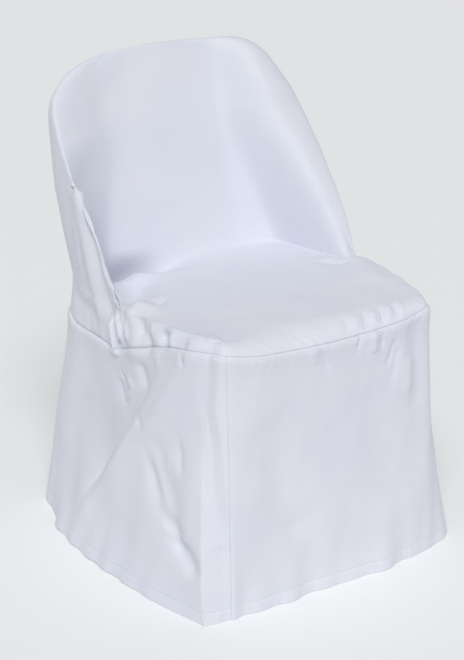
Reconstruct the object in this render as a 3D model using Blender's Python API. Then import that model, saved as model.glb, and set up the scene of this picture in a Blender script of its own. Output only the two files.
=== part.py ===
"""A slip-on cloth cover for a folding chair, as it hangs when it is on the chair.

Seven sewn panels: the inside and the outside of the back pocket, the seat, and the four
sides of the skirt. All the panels are first laid out as one thin sheet, in metres, with
heights measured from the floor. Each panel is then cut from that sheet along its seams
and given the cloth's thickness. The cover faces -Y, and the origin is the point just
under the pocket's top seam, where the chair's top rail holds it up.
"""
from math import pi

import bmesh
import bpy
import numpy as np
from mathutils import Vector

# Cloth
CLOTH = 0.0024
SEAM_GAP = 0.0003
CLOTH_COLOUR = (0.80, 0.80, 0.84, 1.0)
CLOTH_ROUGHNESS = 0.85
CLOTH_METALLIC = 0.0

# Heights above the floor
SEAT_TOP = 0.454
POCKET_FOOT = 0.450
WAIST_SIDE = 0.375
WAIST_REAR = 0.384
SHOULDER = 0.690
POCKET_TOP = 0.807

# Side edges of the back pocket: half width, and how far back they lean
FOOT_HALF = 0.236
SHOULDER_HALF = 0.2425
EDGE_BELLY = 0.005
FOOT_Y = 0.022
WAIST_SIDE_Y = 0.037
EDGE_LEAN = 0.621
EDGE_CURVE = 0.784
TOP_LEAN = 0.598
CORNER_POWER = 2.568

# Inside of the back: middle plane, the step up to the side tubes, and the tubes' roundness
MIDDLE_Y = 0.200
MIDDLE_LEAN = 0.24
FLANK_START_FOOT = 0.72
FLANK_START_TOP = 0.45
FLANK_END_FOOT = 0.92
FLANK_END_TOP = 0.88
TUBE_RADIUS_FOOT = 0.007
TUBE_RADIUS_TOP = 0.012
TUBE_POWER = 10

# Outside of the back: (height, y) of its middle, from the waist up
REAR_MIDDLE = (
    (0.384, 0.266),
    (0.450, 0.254),
    (0.560, 0.266),
    (0.690, 0.292),
    (0.807, 0.312),
)
REAR_POWER_FOOT = 5.5
REAR_POWER_TOP = 2.0
ROUNDING_FROM = 0.600
ROUNDING_TO = 0.760

# Deep corners of the crease between the seat and the back
PIT_DEPTH = 0.018
PIT_PLACE = 0.84
PIT_WIDTH = 0.13
PIT_END_POWER = 8

# Waist seam from the side to the front middle, on the +X side: (x, y, height)
WAIST_FRONT = (
    (0.2380, 0.037, 0.375),
    (0.2350, -0.045, 0.404),
    (0.2250, -0.130, 0.431),
    (0.2090, -0.195, 0.441),
    (0.1940, -0.222, 0.442),
    (0.1650, -0.233, 0.437),
    (0.0900, -0.236, 0.430),
    (0.0000, -0.238, 0.428),
)
WAIST_CORNER = 4
WAIST_TURN = 0.05

# How far in from its edges the seat is still rolled over, as shares of its length and width
SEAT_ROLL = 0.12
SIDE_ROLL = 0.13
# How far from the rear crease the seat is level
SEAT_DIP = 0.055

# Mesh columns and rows
ACROSS = 32
DROP = 3
FRONT = ACROSS + 2 * DROP
SIDE = 11
POCKET_ROWS = 16
SKIRT_ROWS = 13
ROW_CROWDING = 1.5
DENSE = 241

# Ring columns of the skirt's seams and of the hem's corners, counted from the -X side
SEAM_FRONT_LEFT = SIDE
SEAM_FRONT_RIGHT = SIDE + FRONT
REAR_INSET = 7
RING = SIDE + FRONT + SIDE + ACROSS
SEAM_REAR_RIGHT = RING - ACROSS + REAR_INSET
SEAM_REAR_LEFT = RING - REAR_INSET
CORNER_STEP = 2
FLARE = 0.94

# Hem on the floor, corner to corner: (share of the side, x, y)
HEM_FRONT = (
    (0.000, -0.252, -0.244),
    (0.048, -0.201, -0.247),
    (0.500, 0.000, -0.251),
    (0.952, 0.205, -0.247),
    (1.000, 0.254, -0.238),
)
HEM_RIGHT = (
    (0.00, 0.254, -0.238),
    (0.27, 0.272, -0.100),
    (0.56, 0.283, 0.070),
    (0.80, 0.277, 0.185),
    (1.00, 0.250, 0.296),
)
HEM_REAR = (
    (0.00, 0.250, 0.296),
    (0.25, 0.130, 0.309),
    (0.50, 0.000, 0.302),
    (0.75, -0.120, 0.310),
    (1.00, -0.249, 0.296),
)
HEM_LEFT = (
    (0.00, -0.249, 0.296),
    (0.20, -0.278, 0.185),
    (0.44, -0.286, 0.070),
    (0.73, -0.274, -0.100),
    (1.00, -0.252, -0.244),
)

# Folds: (start, end, half width, height of the ridge, or minus the depth of the trough)
FOLDS = (
    # left side of the skirt
    ((-0.240, -0.170, 0.430), (-0.285, 0.100, 0.110), 0.045, 0.012),
    ((-0.240, -0.080, 0.370), (-0.255, 0.060, 0.230), 0.045, -0.012),
    ((-0.250, 0.120, 0.330), (-0.265, 0.170, 0.100), 0.050, -0.006),
    # near corner
    ((-0.240, -0.225, 0.400), (-0.205, -0.245, 0.060), 0.012, 0.004),
    ((-0.250, -0.100, 0.260), (-0.255, -0.155, 0.170), 0.018, -0.009),
    ((-0.245, -0.190, 0.320), (-0.248, -0.210, 0.240), 0.016, -0.006),
    ((-0.255, -0.150, 0.150), (-0.252, -0.205, 0.105), 0.016, -0.009),
    # front of the skirt
    ((-0.130, -0.240, 0.280), (-0.080, -0.245, 0.140), 0.035, -0.005),
    ((0.060, -0.240, 0.300), (0.120, -0.245, 0.160), 0.040, -0.004),
    ((-0.030, -0.236, 0.410), (-0.015, -0.240, 0.370), 0.012, -0.004),
    ((0.105, -0.236, 0.425), (0.085, -0.240, 0.390), 0.012, -0.003),
    # right front corner of the skirt
    ((0.190, -0.228, 0.420), (0.205, -0.235, 0.300), 0.020, 0.005),
    ((0.160, -0.236, 0.420), (0.175, -0.242, 0.300), 0.022, -0.006),
    ((0.225, -0.200, 0.400), (0.245, -0.215, 0.200), 0.022, -0.005),
    # right side and rear of the skirt
    ((0.240, -0.060, 0.380), (0.275, 0.080, 0.080), 0.045, 0.008),
    ((0.245, 0.080, 0.330), (0.262, 0.160, 0.080), 0.045, -0.007),
    ((-0.110, 0.270, 0.350), (-0.130, 0.305, 0.020), 0.035, 0.009),
    ((-0.030, 0.270, 0.330), (-0.010, 0.300, 0.020), 0.040, -0.008),
    ((0.090, 0.270, 0.350), (0.120, 0.305, 0.020), 0.035, 0.009),
    # side wings of the pocket
    ((-0.238, 0.150, 0.600), (-0.238, 0.090, 0.420), 0.014, 0.005),
    ((-0.238, 0.120, 0.590), (-0.238, 0.055, 0.430), 0.012, -0.004),
    ((0.238, 0.160, 0.590), (0.238, 0.100, 0.430), 0.016, 0.005),
    # rear of the pocket
    ((-0.120, 0.290, 0.720), (-0.060, 0.262, 0.460), 0.040, -0.004),
    ((0.130, 0.290, 0.700), (0.080, 0.262, 0.440), 0.040, -0.004),
    # side of the seat
    ((-0.205, -0.010, 0.450), (-0.238, -0.025, 0.400), 0.020, 0.008),
    ((-0.222, -0.060, 0.440), (-0.236, -0.065, 0.415), 0.012, -0.007),
    ((-0.225, -0.105, 0.440), (-0.236, -0.110, 0.430), 0.010, -0.006),
    ((0.210, -0.010, 0.450), (0.238, -0.025, 0.400), 0.020, 0.006),
    ((0.205, -0.040, 0.454), (0.190, -0.150, 0.454), 0.025, 0.004),
)

WELD = 1e-5
SHARPEST_MITRE = 0.5
SMOOTH_ANGLE = pi / 3
PANELS = (
    "inside_back", "outside_back", "seat_panel",
    "skirt_left", "skirt_front", "skirt_right", "skirt_back",
)


def smooth_step(values):
    """Ease from 0 to 1, level at both ends."""
    clipped = np.clip(values, 0, 1)
    return clipped * clipped * (3 - 2 * clipped)


def bell(distance, width):
    return np.exp(-(distance / width) ** 2)


def spline(stations, places):
    """Points of a smooth curve through stations, whose first column is the place."""
    table = np.array(stations, dtype=float)
    knots, points = table[:, 0], table[:, 1:]
    slopes = np.gradient(points, knots, axis=0)
    places = np.clip(places, knots[0], knots[-1])
    index = np.clip(np.searchsorted(knots, places, side="right") - 1, 0, len(knots) - 2)
    span = (knots[index + 1] - knots[index])[:, None]
    share = ((places - knots[index])[:, None]) / span
    start = (1 + 2 * share) * (1 - share) ** 2
    leave = share * (1 - share) ** 2 * span
    arrive = -(share ** 2) * (1 - share) * span
    return (start * points[index] + (1 - start) * points[index + 1]
            + leave * slopes[index] + arrive * slopes[index + 1])


def evenly(points, count):
    """The curve through points, again with count equal steps along its length."""
    steps = np.linalg.norm(np.diff(points, axis=0), axis=1)
    length = np.concatenate(([0], np.cumsum(steps)))
    wanted = np.linspace(0, length[-1], count + 1)
    return np.stack([np.interp(wanted, length, points[:, axis]) for axis in range(3)], 1)


def edge_y(height):
    """How far back the pocket's side edge lies at a height."""
    rise = np.clip(height, POCKET_FOOT, SHOULDER) - POCKET_FOOT
    drop = np.clip((POCKET_FOOT - height) / (POCKET_FOOT - WAIST_SIDE), 0, 1)
    above = np.clip(height - SHOULDER, 0, None)
    leaning = FOOT_Y + EDGE_LEAN * rise + EDGE_CURVE * rise ** 2 + TOP_LEAN * above
    return leaning + drop * (WAIST_SIDE_Y - FOOT_Y)


def edge_half(height):
    """Half the pocket's width at a height, before its top corners turn in."""
    share = np.clip((height - POCKET_FOOT) / (SHOULDER - POCKET_FOOT), 0, 1)
    return FOOT_HALF + (SHOULDER_HALF - FOOT_HALF) * share + EDGE_BELLY * 4 * share * (1 - share)


def nearness(x, height):
    """1 on the pocket's outline and less towards its middle."""
    side = np.abs(x) / edge_half(height)
    top = np.clip((height - SHOULDER) / (POCKET_TOP - SHOULDER), 0, None)
    return np.clip((side ** CORNER_POWER + top ** CORNER_POWER) ** (1 / CORNER_POWER), 0, 1)


def between(foot, top, height):
    """A value that goes evenly from one at the pocket's foot to another at its shoulder."""
    return foot + (top - foot) * np.clip((height - POCKET_FOOT) / (SHOULDER - POCKET_FOOT), 0, 1)


def inside_y(x, height):
    """The inside of the back: a leaning middle, a step up to each side tube, and its round."""
    near = nearness(x, height)
    edge = edge_y(height)
    middle = MIDDLE_Y + MIDDLE_LEAN * (height - SEAT_TOP)
    start = between(FLANK_START_FOOT, FLANK_START_TOP, height)
    end = between(FLANK_END_FOOT, FLANK_END_TOP, height)
    depth = 1 - smooth_step((near - start) / (end - start))
    tube = between(TUBE_RADIUS_FOOT, TUBE_RADIUS_TOP, height) * np.sqrt(1 - near ** TUBE_POWER)
    return edge + (middle - edge) * depth - tube


def outside_y(x, height):
    """The outside of the back: boxy where it hangs, and drawn in to the outline at the top."""
    near = nearness(x, height)
    edge = edge_y(height)
    middle = spline(REAR_MIDDLE, np.ravel(height))[:, 0].reshape(np.shape(height))
    share = np.clip((height - ROUNDING_FROM) / (ROUNDING_TO - ROUNDING_FROM), 0, 1)
    power = REAR_POWER_FOOT + (REAR_POWER_TOP - REAR_POWER_FOOT) * share
    return edge + (middle - edge) * (1 - near ** power) ** (1 / power)


def corner_share():
    """Where the side edge ends and the top edge starts, as a share of the corner's run."""
    return 0.5 ** (1 / CORNER_POWER)


def pocket_row(share, foot, surface):
    """One row of a pocket panel, from -X to +X, at a share of the way up to the top edge.

    foot gives the heights of the panel's lowest row, and surface gives y from x and height.
    """
    spread = np.sin(np.linspace(-pi / 2, pi / 2, DENSE))
    corner = corner_share()
    corner_height = SHOULDER + corner * (POCKET_TOP - SHOULDER)
    side_height = (1 - share) * POCKET_FOOT + share * corner_height
    turn = np.clip((side_height - SHOULDER) / (POCKET_TOP - SHOULDER), 0, 1)
    half = edge_half(side_height) * (1 - turn ** CORNER_POWER) ** (1 / CORNER_POWER)
    top = SHOULDER + (POCKET_TOP - SHOULDER) * (
        1 - (np.abs(spread) * corner) ** CORNER_POWER) ** (1 / CORNER_POWER)
    heights = (1 - share) * foot(spread) + share * top
    x = spread * half
    return evenly(np.stack([x, surface(x, heights), heights], 1), ACROSS)


def crease_height(spread):
    """The seat's rear seam, sunk where the cloth falls in beside the side tubes."""
    pit = bell(np.abs(spread) - PIT_PLACE, PIT_WIDTH) * (1 - spread ** PIT_END_POWER)
    return POCKET_FOOT - PIT_DEPTH * pit


def level_foot(spread):
    return np.full_like(spread, POCKET_FOOT)


def waist_row(share):
    """A row of the outside of the back, between the waist seam and the pocket's foot."""
    spread = np.sin(np.linspace(-pi / 2, pi / 2, DENSE))
    rear = smooth_step((1 - np.abs(spread)) / WAIST_TURN)
    waist = WAIST_SIDE + (WAIST_REAR - WAIST_SIDE) * rear
    heights = waist + share * (POCKET_FOOT - waist)
    x = spread * (WAIST_FRONT[0][0] + share * (FOOT_HALF - WAIST_FRONT[0][0]))
    near = np.abs(spread)
    edge = edge_y(heights)
    middle = spline(REAR_MIDDLE, heights)[:, 0]
    y = edge + (middle - edge) * (1 - near ** REAR_POWER_FOOT) ** (1 / REAR_POWER_FOOT)
    return evenly(np.stack([x, y, heights], 1), ACROSS)


def pocket_shares():
    """How far up the pocket each row lies, closer together towards the top."""
    return 1 - (1 - np.arange(POCKET_ROWS + 1) / POCKET_ROWS) ** ROW_CROWDING


def inside_back_rows():
    return [pocket_row(share, crease_height, inside_y) for share in pocket_shares()]


def outside_back_rows():
    lower = [waist_row(row / DROP) for row in range(DROP)]
    return lower + [pocket_row(share, level_foot, outside_y) for share in pocket_shares()]


def waist_front_line(side):
    """The waist seam from its side to the front middle, on the +X (1) or -X (-1) side."""
    points = np.array(WAIST_FRONT)
    steps = np.linalg.norm(np.diff(points, axis=0), axis=1)
    length = np.concatenate(([0], np.cumsum(steps)))
    stations = np.column_stack((length, points))
    to_corner = spline(stations, np.linspace(0, length[WAIST_CORNER], SIDE + 1))
    to_middle = spline(stations, np.linspace(length[WAIST_CORNER], length[-1], FRONT // 2 + 1))
    scale = np.array([side, 1, 1])
    return to_corner * scale, to_middle * scale


def roll_in(share):
    """0 at a seam, where the cloth hangs straight down, and 1 where it lies flat."""
    return np.sqrt(1 - (1 - np.clip(share, 0, 1)) ** 2)


def seat_rows(rear, crease):
    """The seat, from its rear edge to the front, flat on top and rolled over at its edges."""
    left, left_front = waist_front_line(-1)
    right, right_front = waist_front_line(1)
    front = np.concatenate((left_front, right_front[::-1][1:]))
    across = np.linspace(0, 1, FRONT + 1)
    side_fill = roll_in(np.minimum(across, 1 - across) / SIDE_ROLL)
    grid = []
    for row in range(SIDE + 1):
        share = row / SIDE
        blend = (1 - share) * rear + share * front
        shift_left = (1 - across)[:, None] * (left[row] - blend[0])
        shift_right = across[:, None] * (right[row] - blend[-1])
        points = blend + shift_left + shift_right
        offsets = points[:, None, :2] - crease[None, :, :2]
        distance = np.linalg.norm(offsets, axis=2).min(axis=1)
        fill = side_fill * roll_in((1 - share) / SEAT_ROLL) * smooth_step(distance / SEAT_DIP)
        if 0 < row < SIDE:
            points[:, 2] += (SEAT_TOP - points[:, 2]) * fill
        grid.append(points)
    return grid


def hem_ring():
    """The hem on the floor, one point for each column of the waist seam."""
    corners = (
        SEAM_FRONT_LEFT - CORNER_STEP, SEAM_FRONT_RIGHT + CORNER_STEP,
        SEAM_REAR_RIGHT, SEAM_REAR_LEFT, RING + SEAM_FRONT_LEFT - CORNER_STEP,
    )
    sides = (HEM_FRONT, HEM_RIGHT, HEM_REAR, HEM_LEFT)
    ring = np.zeros((RING + 1, 3))
    for side, first, last in zip(sides, corners, corners[1:]):
        columns = np.arange(first, last + 1)
        ring[columns % RING, :2] = spline(side, (columns - first) / (last - first))
    ring[RING] = ring[0]
    return ring


def skirt_rows(waist):
    """The whole skirt, from the waist seam down to the hem."""
    hem = hem_ring()
    rows = []
    for row in range(SKIRT_ROWS + 1):
        share = row / SKIRT_ROWS
        points = waist + (hem - waist) * share ** FLARE
        points[:, 2] = waist[:, 2] * (1 - share)
        rows.append(points)
    return rows


def add_grid(sheet, rows, panel, layer):
    """Add one panel's quads to the sheet, with its rows from top to bottom or rear to front."""
    grid = [[sheet.verts.new(point) for point in row] for row in rows]
    for upper, lower in zip(grid, grid[1:]):
        for column in range(len(upper) - 1):
            corners = (upper[column], lower[column], lower[column + 1], upper[column + 1])
            face = sheet.faces.new(corners)
            face[layer] = panel


def lay_out_sheet():
    """The whole cover as one sheet without thickness, each face marked with its panel."""
    sheet = bmesh.new()
    layer = sheet.faces.layers.int.new("panel")
    inside = inside_back_rows()
    outside = outside_back_rows()
    drop_left = np.array([row[0] for row in outside[:DROP]])
    drop_right = np.array([row[-1] for row in outside[:DROP]])[::-1]
    seat = seat_rows(np.concatenate((drop_left, inside[0], drop_right)), inside[0])
    seat_left = [row[0] for row in seat]
    seat_right = [row[-1] for row in seat[::-1]]
    rear = outside[0][::-1]
    waist = np.array(seat_left + list(seat[-1][1:]) + seat_right[1:] + list(rear[1:]))
    skirt = skirt_rows(waist)
    skirt_parts = {
        "skirt_front": (SEAM_FRONT_LEFT, SEAM_FRONT_RIGHT),
        "skirt_right": (SEAM_FRONT_RIGHT, SEAM_REAR_RIGHT),
        "skirt_back": (SEAM_REAR_RIGHT, SEAM_REAR_LEFT),
        "skirt_left": (SEAM_REAR_LEFT, RING + SEAM_FRONT_LEFT),
    }

    add_grid(sheet, inside[::-1], PANELS.index("inside_back"), layer)
    add_grid(sheet, [row[::-1] for row in outside[::-1]], PANELS.index("outside_back"), layer)
    add_grid(sheet, seat, PANELS.index("seat_panel"), layer)
    for name, (first, last) in skirt_parts.items():
        columns = np.arange(first, last + 1) % RING
        add_grid(sheet, [row[columns] for row in skirt], PANELS.index(name), layer)

    bmesh.ops.remove_doubles(sheet, verts=sheet.verts, dist=WELD)
    sheet.verts.index_update()
    sheet.normal_update()
    return sheet, layer


def raise_folds(sheet):
    """Move the sheet out along its ridges and in along its troughs."""
    points = np.array([vertex.co for vertex in sheet.verts])
    normals = np.array([vertex.normal for vertex in sheet.verts])
    lift = np.zeros(len(points))
    for start, end, width, depth in FOLDS:
        start = np.array(start)
        along = np.array(end) - start
        share = np.clip((points - start) @ along / (along @ along), 0, 1)
        distance = np.linalg.norm(points - start - share[:, None] * along, axis=1)
        lift += depth * bell(distance, width)
    moved = points + normals * lift[:, None]
    for vertex, point in zip(sheet.verts, moved):
        vertex.co = (point[0], point[1], max(point[2], 0.0))
    sheet.normal_update()


def seam_pull(vertex, faces):
    """How a panel's corner is drawn back from its seams, so that half the gap is left."""
    inward = []
    for edge in vertex.link_edges:
        own = [face for face in edge.link_faces if face in faces]
        if len(own) == 1 and len(edge.link_faces) == 2:
            along = (edge.other_vert(vertex).co - vertex.co).normalized()
            across = along.cross(vertex.normal).normalized()
            middle = own[0].calc_center_median() - vertex.co
            inward.append(across if across.dot(middle) > 0 else -across)
    if not inward:
        return Vector()
    total = sum(inward, Vector())
    if len(inward) == 2:
        total /= max(1 + inward[0].dot(inward[1]), SHARPEST_MITRE)
    return total * SEAM_GAP / 2


def wall(start, end, turned):
    """The two triangles of a panel's edge, split along one diagonal for both its neighbours."""
    if turned:
        return (start[0], start[1], end[0]), (start[1], end[1], end[0])
    return (start[0], start[1], end[1]), (start[0], end[1], end[0])


def cut_panel(sheet, layer, panel):
    """One panel of the sheet as a closed solid of the cloth's thickness."""
    faces = {face for face in sheet.faces if face[layer] == panel}
    solid = bmesh.new()
    skins = {}
    for vertex in {vertex for face in faces for vertex in face.verts}:
        middle = vertex.co + seam_pull(vertex, faces)
        offset = vertex.normal * (CLOTH / 2) * vertex.calc_shell_factor()
        skins[vertex] = (solid.verts.new(middle + offset), solid.verts.new(middle - offset))
    for face in faces:
        solid.faces.new([skins[vertex][0] for vertex in face.verts])
        solid.faces.new([skins[vertex][1] for vertex in reversed(face.verts)])
        for loop in face.loops:
            if sum(other in faces for other in loop.edge.link_faces) == 1:
                first, last = loop.vert, loop.link_loop_next.vert
                for corners in wall(skins[first], skins[last], first.index > last.index):
                    solid.faces.new(corners)
    solid.normal_update()
    return solid


def cloth_material(name):
    material = bpy.data.materials.new(name)
    material.use_nodes = True
    shader = material.node_tree.nodes["Principled BSDF"]
    shader.inputs["Base Color"].default_value = CLOTH_COLOUR
    shader.inputs["Roughness"].default_value = CLOTH_ROUGHNESS
    shader.inputs["Metallic"].default_value = CLOTH_METALLIC
    return material


def build():
    for old in list(bpy.data.objects):
        bpy.data.objects.remove(old, do_unlink=True)
    sheet, layer = lay_out_sheet()
    raise_folds(sheet)
    rail = (0, edge_y(POCKET_TOP), POCKET_TOP - CLOTH)
    cover = bpy.data.objects.new("cover", None)
    cover.location = [-value for value in rail]
    bpy.context.scene.collection.objects.link(cover)
    for panel, name in enumerate(PANELS):
        solid = cut_panel(sheet, layer, panel)
        mesh = bpy.data.meshes.new(name)
        solid.to_mesh(mesh)
        solid.free()
        mesh.shade_smooth()
        mesh.set_sharp_from_angle(angle=SMOOTH_ANGLE)
        mesh.materials.append(cloth_material(name))
        piece = bpy.data.objects.new(name, mesh)
        piece.parent = cover
        bpy.context.scene.collection.objects.link(piece)
    sheet.free()


build()
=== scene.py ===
"""The looks of a slip-on chair cover: white woven polyester, as it hangs on a folding chair.

Seven sewn panels stand for the seven CAD nodes. They are first laid out as one fine sheet, in
metres, with x from side to side, y from front to rear and heights from the floor. The sheet
gets its folds, seams and puckers there, and each panel then goes to its place in the frame.
"""

from math import cos, pi, radians, sin

import bpy
import numpy as np
from mathutils import Matrix, Vector


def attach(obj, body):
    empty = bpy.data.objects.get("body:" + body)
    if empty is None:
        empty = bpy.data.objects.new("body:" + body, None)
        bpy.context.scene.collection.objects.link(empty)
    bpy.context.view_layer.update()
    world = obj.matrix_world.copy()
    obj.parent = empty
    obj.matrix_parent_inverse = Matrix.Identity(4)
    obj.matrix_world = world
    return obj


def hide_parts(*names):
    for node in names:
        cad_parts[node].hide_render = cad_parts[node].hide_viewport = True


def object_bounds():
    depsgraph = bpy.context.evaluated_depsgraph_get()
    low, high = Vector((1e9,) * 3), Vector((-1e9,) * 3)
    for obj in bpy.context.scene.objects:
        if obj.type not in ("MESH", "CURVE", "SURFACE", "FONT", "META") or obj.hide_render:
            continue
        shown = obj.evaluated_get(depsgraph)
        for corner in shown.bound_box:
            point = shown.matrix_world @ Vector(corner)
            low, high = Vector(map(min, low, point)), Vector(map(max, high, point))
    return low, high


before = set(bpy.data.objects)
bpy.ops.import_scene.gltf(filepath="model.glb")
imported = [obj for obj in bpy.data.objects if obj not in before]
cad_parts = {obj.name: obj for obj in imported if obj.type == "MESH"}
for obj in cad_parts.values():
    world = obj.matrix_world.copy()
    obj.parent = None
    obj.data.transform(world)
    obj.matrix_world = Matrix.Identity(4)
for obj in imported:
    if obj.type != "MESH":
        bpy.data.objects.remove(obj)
cad_low, cad_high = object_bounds()

# Thickness of the cloth
CLOTH = 0.0016

# Heights above the floor
SEAT_TOP = 0.454
POCKET_FOOT = 0.450
WAIST_SIDE = 0.375
WAIST_REAR = 0.384
SHOULDER = 0.690
POCKET_TOP = 0.807

# Side edges of the back pocket: half width, and how far back they lean
FOOT_HALF = 0.236
SHOULDER_HALF = 0.2425
EDGE_BELLY = 0.005
FOOT_Y = 0.022
WAIST_SIDE_Y = 0.037
EDGE_LEAN = 0.621
EDGE_CURVE = 0.784
TOP_LEAN = 0.598
CORNER_POWER = 2.568

# Inside of the back: its leaning middle, which comes forward at the foot
MIDDLE_Y = 0.200
MIDDLE_LEAN = 0.24
FOOT_SWEEP = 0.017
FOOT_SWEEP_REACH = 0.055
FOOT_SWEEP_FROM = -0.75
FOOT_SWEEP_TO = -0.15

# Its flanks up to the side edges, as shares of the half width, and the edges' roundness
FLANK_START_FOOT = 0.66
FLANK_START_TOP = 0.35
FLANK_END_FOOT = 0.95
FLANK_END_TOP = 0.80
LEFT_BOWL_START = 0.55
LEFT_BOWL_START_TOP = 0.20
LEFT_BOWL_POWER = 3.2
LEFT_ROUND = 0.016
LEFT_ROUND_START = 0.50
LEFT_ROUND_FULL = 0.88
LEFT_ROUND_FROM = 0.605
LEFT_ROUND_TO = 0.675
LEFT_ROUND_POWER = 6
RIGHT_ROUND_FOOT = 0.006
RIGHT_ROUND_TOP = 0.050
RIGHT_ROUND_POWER = 2.2
RIGHT_ROUND_FROM = 0.40
RIGHT_ROUND_TO = 0.70

# Outside of the back: (height, y) of its middle, from the waist up
REAR_MIDDLE = (
    (0.384, 0.266),
    (0.450, 0.254),
    (0.560, 0.266),
    (0.690, 0.292),
    (0.807, 0.312),
)
REAR_POWER_FOOT = 5.5
REAR_POWER_TOP = 2.0
ROUNDING_FROM = 0.600
ROUNDING_TO = 0.760

# Deep -X corner of the crease between the seat and the back, sunk and undercut
PIT_DEPTH = 0.060
PIT_PLACE = 0.50
PIT_WIDTH = 0.24
PIT_END_POWER = 8
PIT_UNDERCUT = 0.050
PIT_RISE = 0.090

# Waist seam from the side to the front middle, on the +X side: (x, y, height)
WAIST_FRONT = (
    (0.2380, 0.037, 0.375),
    (0.2350, -0.045, 0.404),
    (0.2250, -0.130, 0.431),
    (0.2090, -0.195, 0.441),
    (0.1940, -0.222, 0.442),
    (0.1650, -0.233, 0.437),
    (0.0900, -0.236, 0.430),
    (0.0000, -0.238, 0.428),
)
WAIST_CORNER = 4
WAIST_TURN = 0.05

# Seat: how its front and side edges roll over, and how far from the crease it dips
ROLL_POWER = 0.8
SEAT_ROLL = 0.12
SIDE_ROLL = 0.13
SEAT_DIP = 0.070

# Mesh columns and rows, DROP of them from the waist seam to the pocket's foot, and how much
# closer together they are at a panel's edges
ACROSS = 200
DROP = 16
FRONT = ACROSS + 2 * DROP
SIDE = 110
POCKET_ROWS = 150
SKIRT_ROWS = 150
EDGE_CROWDING = 0.6
DENSE = 961
SHARED_DIGITS = 5

# The skirt's ring from the rear of the -X side, in even spans: the side, the front, the other
# side and the rear, with the hem's corners and the seams between the panels
SIDE_SPAN = 11
FRONT_SPAN = 38
REAR_SPAN = 32
RING_SPAN = SIDE_SPAN + FRONT_SPAN + SIDE_SPAN + REAR_SPAN
CORNER_SPAN = 2
REAR_SEAM_SPAN = 7
FLARE = 0.94

# Hem on the floor, corner to corner: (share of the side, x, y)
HEM_FRONT = (
    (0.000, -0.252, -0.244),
    (0.048, -0.201, -0.247),
    (0.500, 0.000, -0.251),
    (0.880, 0.160, -0.2470),
    (0.945, 0.207, -0.2400),
    (1.000, 0.252, -0.2265),
)
HEM_RIGHT = (
    (0.00, 0.252, -0.2265),
    (0.05, 0.277, -0.2040),
    (0.12, 0.293, -0.1680),
    (0.30, 0.294, -0.0900),
    (0.56, 0.290, 0.070),
    (0.80, 0.277, 0.185),
    (1.00, 0.250, 0.296),
)
HEM_REAR = (
    (0.00, 0.250, 0.296),
    (0.25, 0.130, 0.309),
    (0.50, 0.000, 0.302),
    (0.75, -0.120, 0.310),
    (1.00, -0.249, 0.296),
)
HEM_LEFT = (
    (0.00, -0.249, 0.296),
    (0.20, -0.278, 0.185),
    (0.44, -0.286, 0.070),
    (0.73, -0.274, -0.100),
    (1.00, -0.252, -0.244),
)

# Uneven outline of the back: (place, how far around it, the move there)
TUGS = (
    ((0.165, 0.270, 0.792), 0.052, (0.000, 0.000, 0.012)),
    ((0.242, 0.240, 0.735), 0.040, (-0.009, 0.000, 0.000)),
    ((-0.242, 0.230, 0.705), 0.050, (0.005, 0.000, 0.000)),
    ((-0.240, 0.110, 0.560), 0.060, (0.005, 0.000, 0.000)),
)

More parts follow.
